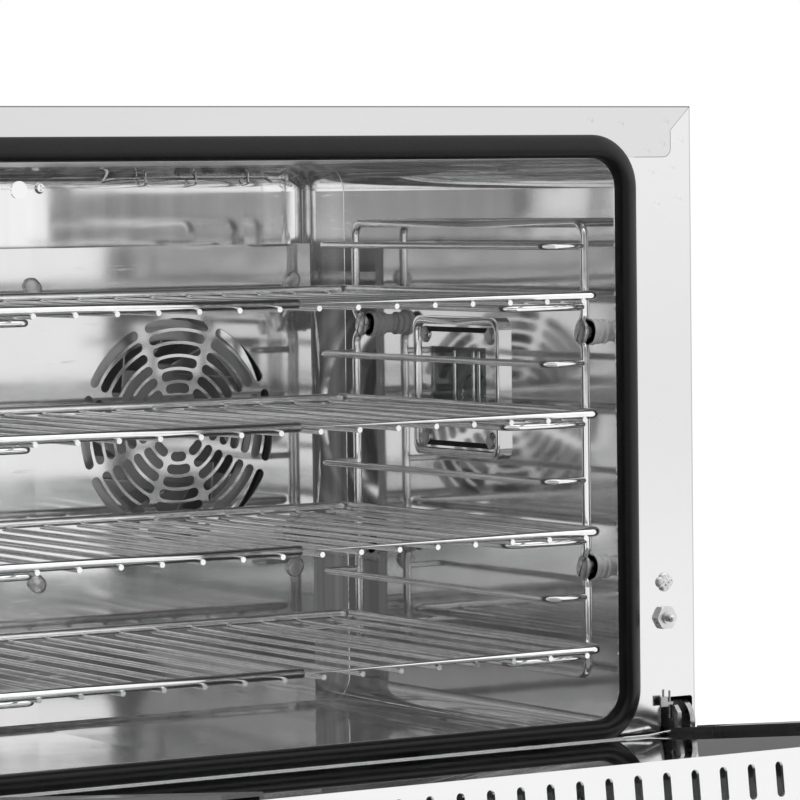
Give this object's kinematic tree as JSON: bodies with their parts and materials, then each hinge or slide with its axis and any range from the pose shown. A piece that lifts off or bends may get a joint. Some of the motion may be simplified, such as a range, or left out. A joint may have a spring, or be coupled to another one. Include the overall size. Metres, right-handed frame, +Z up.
{
  "type": "countertop convection oven",
  "caption": "Countertop convection oven with drop-down glass door, wire shelves on side racks, slotted fan guards, gasketed mouth and control knobs.",
  "frame": {"origin": "centre of the bounding box's base, on the counter, with the door open", "axes": "+Z up, -Y towards the user in front of the door, +X to the user's right"},
  "size_m": [0.592, 0.9474, 0.5],
  "materials": {
    "outer_steel": "satin",
    "face_steel": "bright satin",
    "mirror_steel": "mirror polished",
    "bright_wire": "polished",
    "zinc": "polished zinc",
    "silicone_black": "matte",
    "foot_rubber": "matte",
    "dark_glass": "tinted",
    "clear_glass": "clear",
    "black_enamel": "gloss",
    "motor_paint": "matte",
    "heater_sheath": "oxidised",
    "mineral_wool": "fibrous",
    "probe_copper": "satin",
    "black_plastic": "matte",
    "gloss_plastic_black": "gloss",
    "amber_lens": "translucent"
  },
  "bodies": {
    "cabinet": {"outer_wrap": "outer_steel", "rear_panel": "outer_steel", "base_pan": "outer_steel", "foot": "foot_rubber", "face_top_rail": "face_steel", "face_left_stile": "face_steel", "face_right_stile": "face_steel", "face_bottom_rail": "face_steel", "control_panel": "face_steel", "cavity_liner": "mirror_steel", "insulation": "mineral_wool", "mouth_gasket": "silicone_black", "fan_guard_baffle": "mirror_steel", "baffle_screws": "zinc", "baffle_standoffs": "zinc", "ring_heaters": "heater_sheath", "fan_motors": "motor_paint", "motor_plate": "outer_steel", "lamp_frame": "mirror_steel", "lamp_glass": "clear_glass", "lamp_bulb": "clear_glass", "lamp_housing": "outer_steel", "lamp_screws": "zinc", "side_rack_left": "bright_wire", "side_rack_right": "bright_wire", "side_rack_screws": "zinc", "thermostat_probe": "probe_copper", "wall_disc": "zinc", "vent_tube": "outer_steel", "face_screws": "zinc", "switch_nut": "zinc", "hinge_left": "zinc", "hinge_right": "zinc", "cable_gland": "black_plastic", "pilot_lights": "amber_lens", "rocker_frame": "black_plastic", "control_bodies": "black_plastic"},
    "door": {"door_inner_glass": "dark_glass", "door_outer_glass": "dark_glass", "door_rail_left": "black_enamel", "door_rail_right": "black_enamel", "door_top_cap": "face_steel", "door_bottom_cap": "black_enamel", "door_trim_strip": "face_steel", "door_blades": "outer_steel", "door_handle": "bright_wire"},
    "shelf_1": {"shelf_1": "bright_wire"},
    "shelf_2": {"shelf_2": "bright_wire"},
    "shelf_3": {"shelf_3": "bright_wire"},
    "shelf_4": {"shelf_4": "bright_wire"},
    "fan_left": {"fan_left": "outer_steel"},
    "fan_right": {"fan_right": "outer_steel"},
    "plunger": {"switch_plunger": "zinc"},
    "rocker": {"rocker": "gloss_plastic_black"},
    "knob_timer": {"knob_timer": "black_plastic"},
    "knob_temperature": {"knob_temperature": "black_plastic"}
  },
  "joints": [
    {"name": "door_hinge", "type": "hinge", "parent": "cabinet", "child": "door", "pos_m": [0, -0.06929, 0.09278], "axis": [1, 0, 0], "range_deg": [-83.08, 0]},
    {"name": "shelf_1_slide", "type": "slide", "parent": "cabinet", "child": "shelf_1", "axis": [0, -1, 0], "range_m": [0, 0.26]},
    {"name": "shelf_2_slide", "type": "slide", "parent": "cabinet", "child": "shelf_2", "axis": [0, -1, 0], "range_m": [0, 0.26]},
    {"name": "shelf_3_slide", "type": "slide", "parent": "cabinet", "child": "shelf_3", "axis": [0, -1, 0], "range_m": [0, 0.26]},
    {"name": "shelf_4_slide", "type": "slide", "parent": "cabinet", "child": "shelf_4", "axis": [0, -1, 0], "range_m": [0, 0.26]},
    {"name": "fan_left_spin", "type": "hinge", "parent": "cabinet", "child": "fan_left", "pos_m": [-0.1113, 0.32571, 0.2864], "axis": [0, -1, 0], "continuous": true},
    {"name": "fan_right_spin", "type": "hinge", "parent": "cabinet", "child": "fan_right", "pos_m": [0.1113, 0.32571, 0.2864], "axis": [0, -1, 0], "continuous": true},
    {"name": "switch_press", "type": "slide", "parent": "cabinet", "child": "plunger", "axis": [0, 1, 0], "range_m": [0, 0.0055]},
    {"name": "rocker_tilt", "type": "hinge", "parent": "cabinet", "child": "rocker", "pos_m": [-0.03, -0.05329, 0.043], "axis": [1, 0, 0], "range_deg": [0, 12]},
    {"name": "timer_turn", "type": "hinge", "parent": "cabinet", "child": "knob_timer", "pos_m": [0.11, -0.06429, 0.043], "axis": [0, -1, 0], "range_deg": [-300, 0]},
    {"name": "temperature_turn", "type": "hinge", "parent": "cabinet", "child": "knob_temperature", "pos_m": [0.21, -0.06429, 0.043], "axis": [0, -1, 0], "range_deg": [-270, 0]}
  ],
  "couplings": [
    {"joint": "switch_press", "follows": "door_hinge", "m_per_rad": -0.0037893}
  ]
}
